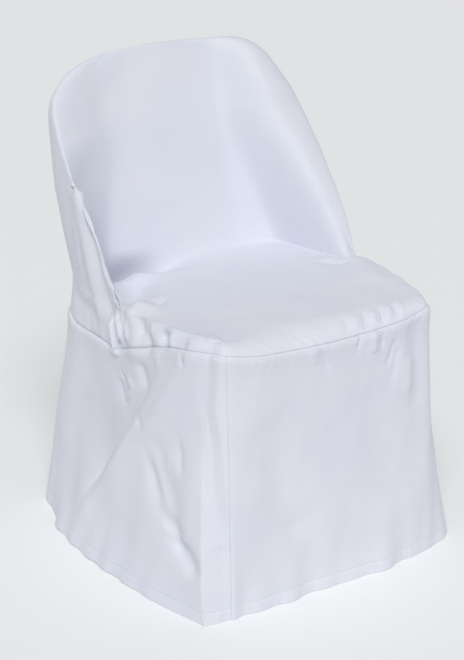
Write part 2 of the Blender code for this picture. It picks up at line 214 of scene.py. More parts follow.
# Broad folds: (start, end, half width, height of the ridge, or minus the depth of the trough)
FOLDS = (
    # left side of the skirt
    ((-0.240, -0.170, 0.430), (-0.285, 0.100, 0.110), 0.045, 0.012),
    ((-0.250, 0.120, 0.310), (-0.265, 0.170, 0.100), 0.050, -0.004),
    ((-0.285, 0.150, 0.000), (-0.280, -0.040, 0.000), 0.060, 0.008),
    # near corner
    ((-0.250, -0.100, 0.260), (-0.255, -0.155, 0.170), 0.020, -0.004),
    ((-0.245, -0.190, 0.320), (-0.248, -0.210, 0.240), 0.018, -0.004),
    ((-0.255, -0.150, 0.140), (-0.252, -0.205, 0.090), 0.018, -0.009),
    # front of the skirt
    ((-0.130, -0.240, 0.290), (-0.080, -0.245, 0.140), 0.035, -0.005),
    ((0.060, -0.240, 0.300), (0.120, -0.245, 0.160), 0.040, -0.004),
    ((-0.060, -0.240, 0.120), (-0.030, -0.247, 0.030), 0.030, -0.004),
    # right front corner of the skirt
    ((0.195, -0.228, 0.420), (0.215, -0.235, 0.300), 0.020, 0.003),
    ((0.160, -0.236, 0.420), (0.175, -0.242, 0.300), 0.022, -0.006),
    ((0.235, -0.210, 0.400), (0.250, -0.220, 0.200), 0.022, -0.004),
    # right side and rear of the skirt
    ((0.240, -0.060, 0.380), (0.275, 0.080, 0.080), 0.045, 0.008),
    ((0.245, 0.080, 0.330), (0.262, 0.160, 0.080), 0.045, -0.007),
    ((-0.110, 0.270, 0.350), (-0.130, 0.305, 0.020), 0.035, 0.009),
    ((-0.030, 0.270, 0.330), (-0.010, 0.300, 0.020), 0.040, -0.008),
    ((0.090, 0.270, 0.350), (0.120, 0.305, 0.020), 0.035, 0.009),
    # side wings of the pocket
    ((-0.238, 0.150, 0.600), (-0.238, 0.090, 0.420), 0.014, 0.005),
    ((-0.238, 0.120, 0.590), (-0.238, 0.055, 0.430), 0.012, -0.004),
    ((0.238, 0.160, 0.590), (0.238, 0.100, 0.430), 0.016, 0.005),
    # rear of the pocket
    ((-0.120, 0.290, 0.720), (-0.060, 0.262, 0.460), 0.040, -0.004),
    ((0.130, 0.290, 0.700), (0.080, 0.262, 0.440), 0.040, -0.004),
    # rear corner of the seat, in front of the deep corner
    ((-0.186, 0.055, 0.450), (-0.150, 0.110, 0.444), 0.028, -0.015),
    # side of the seat
    ((-0.205, -0.010, 0.450), (-0.238, -0.025, 0.400), 0.020, 0.008),
    ((-0.222, -0.060, 0.440), (-0.236, -0.065, 0.415), 0.012, -0.007),
    ((-0.225, -0.105, 0.440), (-0.236, -0.110, 0.430), 0.010, -0.006),
    ((0.210, -0.010, 0.450), (0.238, -0.025, 0.400), 0.020, 0.006),
    ((0.205, -0.040, 0.454), (0.190, -0.150, 0.454), 0.025, 0.004),
)

# Creases: (points along the crease, half width, height of the ridge, or minus the depth)
GATHERS = (
    # where the side of the pocket, the seat and the waist seam meet
    (((-0.235, 0.057, 0.425), (-0.238, 0.039, 0.375)), 0.0040, 0.0060),
    (((-0.236, 0.036, 0.440), (-0.238, 0.015, 0.392)), 0.0040, 0.0060),
    (((-0.237, 0.000, 0.438), (-0.241, -0.010, 0.404)), 0.0040, 0.0050),
    (((-0.236, 0.047, 0.430), (-0.238, 0.028, 0.384)), 0.0028, -0.0045),
    (((-0.226, 0.046, 0.482), (-0.233, 0.028, 0.452)), 0.0050, -0.0080),
    (((-0.236, 0.013, 0.443), (-0.238, 0.001, 0.412)), 0.0034, -0.0060),
    (((-0.237, 0.054, 0.378), (-0.238, 0.036, 0.373), (-0.238, 0.019, 0.376)), 0.0050, 0.0045),
    # a flap of seat cloth pulled towards the gathers
    (((-0.228, 0.016, 0.464), (-0.195, 0.026, 0.459), (-0.160, 0.030, 0.454)), 0.008, 0.0085),
    (((-0.205, 0.008, 0.456), (-0.236, -0.014, 0.440)), 0.010, 0.0070),
    (((-0.150, 0.020, 0.454), (-0.190, -0.006, 0.454), (-0.230, -0.030, 0.444)), 0.006, -0.0050),
    # small pits along the side of the seat
    (((-0.222, -0.036, 0.453), (-0.238, -0.044, 0.422)), 0.0085, -0.0060),
    (((-0.224, -0.064, 0.452), (-0.237, -0.072, 0.420)), 0.0070, 0.0040),
    (((-0.214, -0.090, 0.453), (-0.233, -0.100, 0.430)), 0.0090, -0.0060),
    (((-0.220, -0.120, 0.452), (-0.232, -0.127, 0.430)), 0.0070, 0.0040),
    (((-0.210, -0.148, 0.453), (-0.228, -0.156, 0.438)), 0.0080, -0.0050),
)
CREASES = (
    # the hollow in the rear corner of the seat
    (((-0.214, 0.040, 0.462), (-0.190, 0.070, 0.450), (-0.150, 0.110, 0.446)), 0.012, -0.008),
    # side of the pocket
    (((-0.245, 0.160, 0.612), (-0.242, 0.156, 0.625), (-0.234, 0.148, 0.627),
      (-0.228, 0.142, 0.614)), 0.0036, -0.0055),
    (((-0.240, 0.150, 0.613), (-0.237, 0.142, 0.600)), 0.0060, 0.0050),
    (((-0.236, 0.137, 0.612), (-0.239, 0.109, 0.572), (-0.240, 0.065, 0.519),
      (-0.237, 0.045, 0.490), (-0.236, 0.024, 0.455)), 0.0028, -0.0025),
    (((-0.242, 0.148, 0.604), (-0.245, 0.119, 0.570), (-0.243, 0.078, 0.519),
      (-0.240, 0.057, 0.490), (-0.238, 0.036, 0.450)), 0.0050, 0.0035),
    (((-0.246, 0.162, 0.580), (-0.244, 0.154, 0.521), (-0.240, 0.150, 0.470)), 0.012, 0.0035),
    (((-0.240, 0.200, 0.450), (-0.242, 0.144, 0.441), (-0.243, 0.093, 0.436)), 0.009, 0.0030),
    (((-0.236, 0.200, 0.424), (-0.240, 0.144, 0.415), (-0.240, 0.085, 0.412)), 0.015, -0.0050),
    (((-0.236, 0.180, 0.383), (-0.237, 0.130, 0.380)), 0.0040, 0.0020),
    (((-0.236, 0.123, 0.379), (-0.237, 0.080, 0.376)), 0.0035, -0.0025),
    # side of the skirt
    (((-0.236, -0.040, 0.385), (-0.238, -0.062, 0.340)), 0.0120, -0.0060),
    (((-0.236, 0.030, 0.330), (-0.238, 0.000, 0.285)), 0.0160, -0.0060),
    (((-0.232, -0.092, 0.412), (-0.235, -0.100, 0.386)), 0.0055, 0.0035),
    (((-0.231, -0.158, 0.432), (-0.233, -0.161, 0.412)), 0.0030, -0.0045),
    (((-0.234, -0.136, 0.405), (-0.238, -0.102, 0.350), (-0.246, -0.072, 0.300),
      (-0.254, -0.036, 0.250)), 0.012, -0.0040),
    (((-0.240, 0.018, 0.344), (-0.240, -0.003, 0.316)), 0.0040, -0.0040),
    (((-0.240, -0.006, 0.342), (-0.241, -0.022, 0.326)), 0.0055, 0.0030),
    (((-0.244, 0.032, 0.280), (-0.240, -0.028, 0.326)), 0.0045, 0.0030),
    (((-0.252, -0.052, 0.299), (-0.256, -0.069, 0.277)), 0.0050, -0.0045),
    (((-0.250, -0.088, 0.230), (-0.252, -0.104, 0.198), (-0.252, -0.120, 0.168)), 0.012, -0.0045),
    (((-0.238, -0.155, 0.288), (-0.242, -0.162, 0.228)), 0.0075, -0.0040),
    (((-0.243, -0.136, 0.268), (-0.242, -0.131, 0.212)), 0.0080, 0.0022),
    (((-0.256, -0.122, 0.148), (-0.256, -0.137, 0.128), (-0.248, -0.168, 0.125),
      (-0.225, -0.215, 0.130), (-0.203, -0.243, 0.137)), 0.0070, 0.0050),
    (((-0.250, -0.164, 0.122), (-0.253, -0.180, 0.098)), 0.0085, -0.0065),
    # beside the near corner
    (((-0.222, -0.190, 0.420), (-0.228, -0.200, 0.300), (-0.228, -0.215, 0.220)), 0.009, -0.0020),
    # gathers at the right front of the seat
    (((0.126, -0.208, 0.454), (0.109, -0.232, 0.441)), 0.0045, 0.0040),
    (((0.108, -0.212, 0.453), (0.096, -0.234, 0.438)), 0.0040, -0.0040),
    (((0.091, -0.212, 0.453), (0.080, -0.234, 0.438)), 0.0045, 0.0030),
    (((0.076, -0.208, 0.454), (0.061, -0.234, 0.437)), 0.0050, -0.0035),
    (((0.056, -0.212, 0.453), (0.044, -0.234, 0.437)), 0.0055, 0.0020),
    (((0.036, -0.210, 0.453), (0.025, -0.235, 0.436)), 0.0055, -0.0024),
    (((0.148, -0.208, 0.454), (0.136, -0.231, 0.442)), 0.0055, 0.0030),
    (((0.139, -0.210, 0.454), (0.124, -0.232, 0.441)), 0.0045, -0.0030),
    # front of the skirt, below them
    (((0.072, -0.237, 0.430), (0.075, -0.238, 0.390)), 0.0080, 0.0045),
    (((0.092, -0.237, 0.428), (0.090, -0.238, 0.398)), 0.0050, -0.0028),
    (((0.047, -0.237, 0.430), (0.041, -0.238, 0.404)), 0.0045, -0.0032),
    (((-0.033, -0.237, 0.427), (-0.013, -0.238, 0.380)), 0.0055, -0.0035),
    (((-0.050, -0.237, 0.426), (-0.040, -0.238, 0.396)), 0.0070, 0.0020),
    (((0.120, -0.238, 0.412), (0.101, -0.240, 0.358)), 0.0065, -0.0036),
    (((0.126, -0.238, 0.400), (0.111, -0.242, 0.332)), 0.0090, -0.0034),
    (((0.151, -0.236, 0.372), (0.147, -0.240, 0.300)), 0.0120, 0.0040),
    # inside of the back
    (((0.104, 0.250, 0.706), (0.096, 0.239, 0.655)), 0.0070, -0.0014),
    (((-0.110, 0.262, 0.752), (-0.128, 0.240, 0.700)), 0.0120, -0.0016),
    (((0.040, 0.215, 0.520), (-0.060, 0.208, 0.486)), 0.0160, 0.0016),
)

# Steps in the cloth: (points along the step from top to bottom, half width, rise from its left
# to its right as seen from outside, how far the rise reaches)
STEPS = (
    # near corner, a strip that faces between the side and the front
    (((-0.207, -0.213, 0.440), (-0.213, -0.209, 0.354), (-0.211, -0.222, 0.304),
      (-0.211, -0.230, 0.218), (-0.203, -0.240, 0.157), (-0.205, -0.244, 0.100),
      (-0.204, -0.247, 0.000)), 0.0085, 0.0065, 0.040),
    # the edge of the hollow on the left side
    (((-0.232, -0.146, 0.425), (-0.236, -0.134, 0.393), (-0.242, -0.107, 0.345),
      (-0.250, -0.080, 0.300), (-0.258, -0.044, 0.253), (-0.268, 0.006, 0.190)),
     0.0120, 0.0040, 0.030),
    # lower down beside the near corner
    (((-0.249, -0.092, 0.240), (-0.251, -0.108, 0.202), (-0.252, -0.128, 0.164)),
     0.0120, 0.0070, 0.024),
)

# The left side of the skirt falls in below the waist, behind a diagonal fold: two points of the
# fold as (y, height), how deep, and how far down the deepest place and the end are; then how
# far behind the fold it has turned in, and how it fades towards the rear
HOLLOW_TOP = (-0.146, 0.425)
HOLLOW_FOOT = (0.006, 0.190)
HOLLOW_DEPTH = 0.024
HOLLOW_DEEPEST = 0.175
HOLLOW_END = 0.340
HOLLOW_TURN = 0.024
HOLLOW_REAR = 0.040
HOLLOW_FADE = 0.170
HOLLOW_SIDE = -0.200

# Sewn lines: (groove's depth and half width, height and reach of the fullness beside it,
# puckers' height and reach), where the fullness and the puckers start, and how they vary
SEAMS = {
    "edge": (0.0006, 0.0013, 0.0000, 0.010, 0.0006, 0.014),
    "crease": (0.0000, 0.0013, 0.0000, 0.010, 0.0007, 0.022),
    "above_waist": (0.0002, 0.0026, 0.0000, 0.010, 0.0010, 0.024),
    "below_waist": (0.0000, 0.0013, 0.0080, 0.018, 0.0006, 0.022),
    "corner": (0.0002, 0.0013, 0.0000, 0.010, 0.0003, 0.016),
}
FULLNESS_START = 0.004
PUCKER_START = 0.003
PUCKER_WAVE = 0.014
PUCKER_SLANT = 0.35
TIGHT_WAVE = 0.09
SEAM_END = 0.030
BORDERS = {
    "inside_back": {"top": "edge", "bottom": "crease", "left": "edge", "right": "edge"},
    "outside_back": {"top": "edge", "bottom": "above_waist", "left": "edge", "right": "edge"},
    "seat_panel": {
        "top": "crease", "bottom": "above_waist", "left": "above_waist", "right": "above_waist",
    },
    "skirt_left": {"top": "below_waist", "bottom": "hem", "left": "corner", "right": "corner"},
    "skirt_front": {"top": "below_waist", "bottom": "hem", "left": "corner", "right": "corner"},
    "skirt_right": {"top": "below_waist", "bottom": "hem", "left": "corner", "right": "corner"},
    "skirt_back": {"top": "below_waist", "bottom": "hem", "left": "corner", "right": "corner"},
}

# Hem: its turn-up, the step at its stitching, and how it waves
HEM_TURN = 0.020
HEM_STEP = 0.0006
HEM_STITCH = 0.0007
HEM_STITCH_HALF = 0.0016
HEM_PUCKER = 0.00024
HEM_WAVE = 0.085
HEM_WAVE_HEIGHT = 0.0022
HEM_WAVE_REACH = 0.060

# Unevenness of the hanging cloth: (distance between swells, height up high, height down low)
SWELLS = (
    (0.110, 0.0007, 0.0016),
    (0.038, 0.00018, 0.00032),
)
SWELL_STRETCH = (1.0, 1.0, 0.5)
SWELL_WAVES = 18
SWELL_LENGTHS = (0.7, 1.6)
CALM_HEIGHT = 0.44
LIVELY_HEIGHT = 0.26
LINE_WAVES = 7
LINE_LENGTHS = (0.6, 1.9)
SEED = 11

# Creases: their section, how far they reach in half widths, and how they end
CREASE_SHARPNESS = 1.6
CREASE_REACH = 4
CREASE_FADE = 0.3
CREASE_END = 0.25
GATHERS_LEFT = 1.5
GATHERS_RIGHT = 0.8

# Rounding of the line between the seat and the back: rows on each side of it, and passes
CREASE_ROWS = 14
CREASE_PASSES = 10

# Cloth's colours, threads and stitching
SHADE_COOL = (0.728, 0.748, 0.832)
SHADE_WARM = (0.756, 0.774, 0.836)
SHADE_THREAD = (0.80, 0.81, 0.84)
TONE_SCALE = 7
TONE_FROM = 0.35
TONE_TO = 0.65
THREAD = 0.0008
WEAVE_HEIGHT = 0.00003
SLUB_SCALE = 700
SLUB_STRENGTH = 0.35
SLUB_HEIGHT = 0.0002
STITCH = 0.0032
STITCH_SHARE = 0.62
STITCH_HALF = 0.0004
STITCH_STRENGTH = 0.8
STITCH_HEIGHT = 0.0003
TOPSTITCH = 0.0052
ROUGH_SCALE = 40
ROUGH_LEAST = 0.70
ROUGH_RANGE = 0.16

# Camera, as the photograph was taken: place, turn about the vertical, tilt down, focal length
CAMERA_PLACE = (-1.458, -2.161, 1.390)
CAMERA_TURN = -33.32
CAMERA_TILT = 21.38
FOCAL_PIXELS = 1663.2
IMAGE_HEIGHT = 660
SENSOR = 36

# Floor and light
FLOOR_SIZE = 12
FLOOR_SHADE = 0.90
KEY_TOWARD = (-0.35, -0.54, 0.76)
KEY_SPREAD = 28
KEY_STRENGTH = 1.98
SKY_SHADE = (0.94, 0.96, 1.0)
SKY_STRENGTH = 0.39


def smooth_step(values):
    """Ease from 0 to 1, level at both ends."""
    clipped = np.clip(values, 0, 1)
    return clipped * clipped * (3 - 2 * clipped)


def smoother_step(values):
    """Ease from 0 to 1 with no break in the bend at either end."""
    clipped = np.clip(values, 0, 1)
    return clipped ** 3 * (10 + clipped * (6 * clipped - 15))


def bell(distance, width):
    return np.exp(-(distance / width) ** 2)


def rounded(share, power):
    """From 1 at share 0 to 0 at share 1, round at a power of 2 and boxier above it."""
    return (1 - share ** power) ** (1 / power)


def unit(vectors):
    """Each vector at length 1."""
    return vectors / np.maximum(np.linalg.norm(vectors, axis=-1, keepdims=True), 1e-12)


def spline(stations, places):
    """Points of a smooth curve through stations, whose first column is the place."""
    table = np.array(stations, dtype=float)
    knots, points = table[:, 0], table[:, 1:]
    slopes = np.gradient(points, knots, axis=0)
    places = np.clip(places, knots[0], knots[-1])
    index = np.clip(np.searchsorted(knots, places, side="right") - 1, 0, len(knots) - 2)
    span = (knots[index + 1] - knots[index])[:, None]
    share = ((places - knots[index])[:, None]) / span
    start = (1 + 2 * share) * (1 - share) ** 2
    leave = share * (1 - share) ** 2 * span
    arrive = -(share ** 2) * (1 - share) * span
    return (start * points[index] + (1 - start) * points[index + 1]
            + leave * slopes[index] + arrive * slopes[index + 1])


def crowded(count):
    """Shares from 0 to 1 in count steps, closer together at both ends."""
    even = np.linspace(0, 1, count + 1)
    return even - EDGE_CROWDING * np.sin(2 * pi * even) / (2 * pi)


def dense_spread():
    """Many places from -1 to 1, shares of the half width, closer together at both ends."""
    return np.sin(np.linspace(-pi / 2, pi / 2, DENSE))


def lengths_along(points):
    """How far along a line of points each of them lies."""
    steps = np.linalg.norm(np.diff(points, axis=0), axis=1)
    return np.concatenate(([0], np.cumsum(steps)))


def along_curve(points, shares):
    """The curve through points, read at shares of its length."""
    length = lengths_along(points)
    wanted = shares * length[-1]
    return np.stack([np.interp(wanted, length, points[:, axis]) for axis in range(3)], 1)


def edge_y(height):
    """How far back the pocket's side edge lies at a height."""
    rise = np.clip(height, POCKET_FOOT, SHOULDER) - POCKET_FOOT
    drop = np.clip((POCKET_FOOT - height) / (POCKET_FOOT - WAIST_SIDE), 0, 1)
    above = np.clip(height - SHOULDER, 0, None)
    leaning = FOOT_Y + EDGE_LEAN * rise + EDGE_CURVE * rise ** 2 + TOP_LEAN * above
    return leaning + drop * (WAIST_SIDE_Y - FOOT_Y)


def edge_half(height):
    """Half the pocket's width at a height, before its top corners turn in."""
    share = np.clip((height - POCKET_FOOT) / (SHOULDER - POCKET_FOOT), 0, 1)
    return FOOT_HALF + (SHOULDER_HALF - FOOT_HALF) * share + EDGE_BELLY * 4 * share * (1 - share)


def nearness(x, height):
    """1 on the pocket's outline and less towards its middle."""
    side = np.abs(x) / edge_half(height)
    top = np.clip((height - SHOULDER) / (POCKET_TOP - SHOULDER), 0, None)
    return np.clip((side ** CORNER_POWER + top ** CORNER_POWER) ** (1 / CORNER_POWER), 0, 1)


def narrowing(height):
    """The outline's width at a height, as a share of its width below the top corners."""
    return rounded(np.clip((height - SHOULDER) / (POCKET_TOP - SHOULDER), 0, 1), CORNER_POWER)


def between(foot, top, height):
    """A value that goes evenly from one at the pocket's foot to another at its shoulder."""
    return foot + (top - foot) * np.clip((height - POCKET_FOOT) / (SHOULDER - POCKET_FOOT), 0, 1)


def inside_y(x, height):
    """The inside of the back: a leaning middle, and a flank up to each side edge.

    The -X flank is a bowl whose edge is rounded towards the top only. The +X one eases over,
    more and more towards the top. The foot is undercut where the crease is deep.
    """
    edge = edge_y(height)
    side = x / edge_half(height)
    near = np.clip(np.abs(side) / np.maximum(narrowing(height), 1e-6), 0, 1)
    sweep = smooth_step((side - FOOT_SWEEP_FROM) / (FOOT_SWEEP_TO - FOOT_SWEEP_FROM))
    sweep = FOOT_SWEEP * sweep * np.exp((POCKET_FOOT - height) / FOOT_SWEEP_REACH)
    middle = MIDDLE_Y + MIDDLE_LEAN * (height - SEAT_TOP) - sweep
    start = between(FLANK_START_FOOT, FLANK_START_TOP, height)
    end = between(FLANK_END_FOOT, FLANK_END_TOP, height)
    eased = 1 - smoother_step((near - start) / (end - start))
    bowl_start = between(LEFT_BOWL_START, LEFT_BOWL_START_TOP, height)
    bowl = 1 - np.clip((near - bowl_start) / (1 - bowl_start), 0, 1) ** LEFT_BOWL_POWER
    rising = smooth_step((height - LEFT_ROUND_FROM) / (LEFT_ROUND_TO - LEFT_ROUND_FROM))
    beside = smooth_step((-side - LEFT_ROUND_START) / (LEFT_ROUND_FULL - LEFT_ROUND_START))
    left = LEFT_ROUND * rising * beside * np.sqrt(1 - near ** LEFT_ROUND_POWER)
    right = between(RIGHT_ROUND_FOOT, RIGHT_ROUND_TOP, height)
    right = right * np.sqrt(1 - near ** RIGHT_ROUND_POWER)
    turn = smooth_step((side - RIGHT_ROUND_FROM) / (RIGHT_ROUND_TO - RIGHT_ROUND_FROM))
    above = smooth_step((height - POCKET_FOOT + PIT_DEPTH) / PIT_RISE)
    under = PIT_UNDERCUT * bell(side + PIT_PLACE, PIT_WIDTH) * (1 - above)
    depth = bowl + (eased - bowl) * smooth_step(0.5 + 0.5 * side)
    return edge + (middle - edge) * depth + under - left - (right - left) * turn


def outside_y(x, height):
    """The outside of the back: boxy where it hangs, and drawn in to the outline at the top."""
    near = nearness(x, height)
    edge = edge_y(height)
    middle = spline(REAR_MIDDLE, np.ravel(height))[:, 0].reshape(np.shape(height))
    share = np.clip((height - ROUNDING_FROM) / (ROUNDING_TO - ROUNDING_FROM), 0, 1)
    power = REAR_POWER_FOOT + (REAR_POWER_TOP - REAR_POWER_FOOT) * share
    return edge + (middle - edge) * rounded(near, power)


def pocket_row(share, foot, surface):
    """One row of a pocket panel, from -X to +X, at a share of the way up to the top edge.

    foot gives the heights of the panel's lowest row, and surface gives y from x and height.
    """
    spread = dense_spread()
    corner = 0.5 ** (1 / CORNER_POWER)
    corner_height = SHOULDER + corner * (POCKET_TOP - SHOULDER)
    side_height = (1 - share) * POCKET_FOOT + share * corner_height
    top = SHOULDER + (POCKET_TOP - SHOULDER) * rounded(np.abs(spread) * corner, CORNER_POWER)
    heights = (1 - share) * foot(spread) + share * top
    x = spread * edge_half(side_height) * narrowing(side_height)
    return along_curve(np.stack([x, surface(x, heights), heights], 1), crowded(ACROSS))


def crease_height(spread):
    """The seat's rear seam, sunk where the cloth falls in at its -X end."""
    pit = bell(spread + PIT_PLACE, PIT_WIDTH) * (1 - spread ** PIT_END_POWER)
    return POCKET_FOOT - PIT_DEPTH * pit


def level_foot(spread):
    return np.full_like(spread, POCKET_FOOT)


def waist_row(share):
    """A row of the outside of the back, between the waist seam and the pocket's foot."""
    spread = dense_spread()
    rear = smooth_step((1 - np.abs(spread)) / WAIST_TURN)
    waist = WAIST_SIDE + (WAIST_REAR - WAIST_SIDE) * rear
    heights = waist + share * (POCKET_FOOT - waist)
    x = spread * (WAIST_FRONT[0][0] + share * (FOOT_HALF - WAIST_FRONT[0][0]))
    edge = edge_y(heights)
    middle = spline(REAR_MIDDLE, heights)[:, 0]
    y = edge + (middle - edge) * rounded(np.abs(spread), REAR_POWER_FOOT)
    return along_curve(np.stack([x, y, heights], 1), crowded(ACROSS))


def inside_back_grid():
    """From the crease up to the top edge."""
    return np.array([pocket_row(share, crease_height, inside_y) for share in crowded(POCKET_ROWS)])


def outside_back_grid():
    """From the waist seam up to the top edge."""
    lower = [waist_row(row / DROP) for row in range(DROP)]
    upper = [pocket_row(share, level_foot, outside_y) for share in crowded(POCKET_ROWS)]
    return np.array(lower + upper)


def waist_front_line(side):
    """The waist seam from its side to the front middle, on the +X (1) or -X (-1) side."""
    length = lengths_along(WAIST_FRONT)
    stations = np.column_stack((length, WAIST_FRONT))
    corner = length[WAIST_CORNER]
    to_corner = spline(stations, corner * crowded(SIDE))
    shares = crowded(FRONT)[:FRONT // 2 + 1] * 2
    to_middle = spline(stations, corner + (length[-1] - corner) * shares)
    scale = np.array([side, 1, 1])
    return to_corner * scale, to_middle * scale


def roll_in(share):
    """0 at a seam, where the cloth hangs steeply, and 1 where it lies flat."""
    return (1 - (1 - np.clip(share, 0, 1)) ** 2) ** ROLL_POWER


def seat_grid(rear, crease):
    """The seat, from its rear edge to the front, flat on top and rolled over at its edges."""
    left, left_front = waist_front_line(-1)
    right, right_front = waist_front_line(1)
    front = np.concatenate((left_front, right_front[::-1][1:]))
    across = np.linspace(0, 1, FRONT + 1)
    side_fill = roll_in(np.minimum(across, 1 - across) / SIDE_ROLL)
    grid = []
    for row, share in enumerate(crowded(SIDE)):
        blend = (1 - share) * rear + share * front
        shift_left = (1 - across)[:, None] * (left[row] - blend[0])
        shift_right = across[:, None] * (right[row] - blend[-1])
        points = blend + shift_left + shift_right
        offsets = points[:, None, :2] - crease[None, :, :2]
        distance = np.linalg.norm(offsets, axis=2).min(axis=1)
        fill = side_fill * roll_in((1 - share) / SEAT_ROLL) * smooth_step(distance / SEAT_DIP)
        if 0 < row < SIDE:
            points[:, 2] += (SEAT_TOP - points[:, 2]) * fill
        grid.append(points)
    return np.array(grid)


def ring_places():
    """Where each column of the skirt lies on its ring, in spans."""
    sections = ((SIDE_SPAN, SIDE), (FRONT_SPAN, FRONT), (SIDE_SPAN, SIDE), (REAR_SPAN, ACROSS))
    places = [np.zeros(1)]
    for span, count in sections:
        places.append(places[-1][-1] + span * crowded(count)[1:])
    return np.concatenate(places)


def hem_ring(places):
    """The hem on the floor, one point for each column of the waist seam."""
    corners = (
        SIDE_SPAN - CORNER_SPAN, SIDE_SPAN + FRONT_SPAN + CORNER_SPAN,
        RING_SPAN - REAR_SPAN + REAR_SEAM_SPAN, RING_SPAN - REAR_SEAM_SPAN,
        RING_SPAN + SIDE_SPAN - CORNER_SPAN,
    )
    sides = (HEM_FRONT, HEM_RIGHT, HEM_REAR, HEM_LEFT)
    ring = np.zeros((len(places), 3))
    for side, first, last in zip(sides, corners, corners[1:]):
        for turn in (0, RING_SPAN):
            share = (places + turn - first) / (last - first)
            inside = (share >= 0) & (share <= 1)
            ring[inside, :2] = spline(side, share[inside])
    return ring


def skirt_grid(waist, hem):
    """The whole skirt, from the waist seam down to the hem."""
    rows = []
    for share in crowded(SKIRT_ROWS):
        points = waist + (hem - waist) * share ** FLARE
        points[:, 2] = waist[:, 2] * (1 - share)
        rows.append(points)
    return np.array(rows)


def lay_out_panels():
    """Each panel's grid of points, its rows from top to bottom or from rear to front."""
    inside = inside_back_grid()
    outside = outside_back_grid()
    drop_left = outside[:DROP, 0]
    drop_right = outside[:DROP, -1][::-1]
    seat = seat_grid(np.concatenate((drop_left, inside[0], drop_right)), inside[0])
    rear = outside[0][::-1]
    waist = np.concatenate((seat[:, 0], seat[-1][1:], seat[::-1, -1][1:], rear[1:]))
    places = ring_places()
    skirt = skirt_grid(waist, hem_ring(places))
    ring = len(places) - 1
    rear_right = np.argmin(abs(places - (RING_SPAN - REAR_SPAN + REAR_SEAM_SPAN)))
    rear_left = np.argmin(abs(places - (RING_SPAN - REAR_SEAM_SPAN)))
    spans = {
        "skirt_left": (rear_left, ring + SIDE),
        "skirt_front": (SIDE, SIDE + FRONT),
        "skirt_right": (SIDE + FRONT, rear_right),
        "skirt_back": (rear_right, rear_left),
    }
    panels = {
        "inside_back": inside[::-1],
        "outside_back": outside[::-1, ::-1],
        "seat_panel": seat,
    }
    for name, (first, last) in spans.items():
        panels[name] = skirt[:, np.arange(first, last + 1) % ring]
    return panels


class Sheet:
    """All the panels' points as one sheet, so that what moves at a seam moves on both sides."""

    def __init__(self, panels):
        self.panels = panels
        self.places = {}
        first = 0
        for name, grid in panels.items():
            count = grid.shape[0] * grid.shape[1]
            self.places[name] = slice(first, first + count)
            first += count
        stacked = np.concatenate([grid.reshape(-1, 3) for grid in panels.values()])
        keys = np.round(stacked, SHARED_DIGITS)
        _, first_of, self.shared = np.unique(keys, axis=0, return_index=True, return_inverse=True)
        self.shared = self.shared.ravel()
        self.points = stacked[first_of]
        self.count = np.bincount(self.shared)

    def index(self, name):
        """A panel's rows and columns, as places in the list of points."""
        return self.shared[self.places[name]].reshape(self.panels[name].shape[:2])

    def grid(self, name):
        return self.points[self.index(name)]

    def average(self, values):
        """One value for each shared point, from one for each stacked point."""
        if values.ndim == 1:
            return np.bincount(self.shared, values) / self.count
        return np.stack([self.average(column) for column in values.T], 1)

    def normals(self):
        """The sheet's outward direction at each shared point."""
        parts = []
        for name in self.panels:
            grid = self.grid(name)
            down = np.gradient(grid, axis=0)
            across = np.gradient(grid, axis=1)
            parts.append(unit(np.cross(down, across)).reshape(-1, 3))
        return unit(self.average(np.concatenate(parts)))


def move_out(sheet, lift):
    """Move each point out from the sheet by its lift; the floor stops it."""
    sheet.points = sheet.points + sheet.normals() * lift[:, None]
    sheet.points[:, 2] = np.maximum(sheet.points[:, 2], 0)


def tug(points, tugs):
    """Points moved a little around a few places."""
    moved = points.copy()
    for place, reach, move in tugs:
        distance = np.linalg.norm(points - np.array(place), axis=1)
        moved += bell(distance, reach)[:, None] * np.array(move)
    return moved


def beside_line(points, start, end):
    """Each point's share of the way from start to end, and its offset from that line."""
    along = end - start
    share = np.clip((points - start) @ along / (along @ along), 0, 1)
    return share, points - start - share[:, None] * along


def broad_folds(points, folds):
    """The lift of soft ridges and troughs, each between two points."""
    lift = np.zeros(len(points))
    for start, end, width, height in folds:
        _, offset = beside_line(points, np.array(start), np.array(end))
        lift += height * bell(np.linalg.norm(offset, axis=1), width)
    return lift


def sharp_creases(points, creases):
    """The lift of narrow creases along lines of points, each fading towards its ends."""
    lift = np.zeros(len(points))
    for path, width, height in creases:
        stops = np.array(path)
        reach = CREASE_REACH * width
        near = np.all((points > stops.min(0) - reach) & (points < stops.max(0) + reach), 1)
        length = lengths_along(stops)
        shortest = np.full(np.count_nonzero(near), np.inf)
        place = np.zeros(len(shortest))
        for index, step in enumerate(np.diff(length)):
            share, offset = beside_line(points[near], stops[index], stops[index + 1])
            distance = np.linalg.norm(offset, axis=1)
            closer = distance < shortest
            shortest[closer] = distance[closer]
            place[closer] = (length[index] + share * step)[closer]
        to_end = np.minimum(place, length[-1] - place) / length[-1]
        fade = CREASE_END + (1 - CREASE_END) * smooth_step(to_end / CREASE_FADE)
        lift[near] += height * fade * np.exp(-(shortest / width) ** CREASE_SHARPNESS)
    return lift


def steps_up(sheet, steps):
    """The lift of places where the cloth goes evenly from one level to another."""
    points, normals = sheet.points, sheet.normals()
    lift = np.zeros(len(points))
    for path, half, rise, reach in steps:
        stops = np.array(path)
        shortest = np.full(len(points), np.inf)
        side = np.zeros(len(points))
        for start, end in zip(stops, stops[1:]):
            _, offset = beside_line(points, start, end)
            distance = np.linalg.norm(offset, axis=1)
            closer = distance < shortest
            across = unit(np.cross(normals, end - start))
            side[closer] = np.sum(offset * across, axis=1)[closer]
            shortest[closer] = distance[closer]
        ramp = np.clip(side / half, -1, 1)
        lift += 0.5 * rise * ramp * bell(shortest, reach)
    return lift


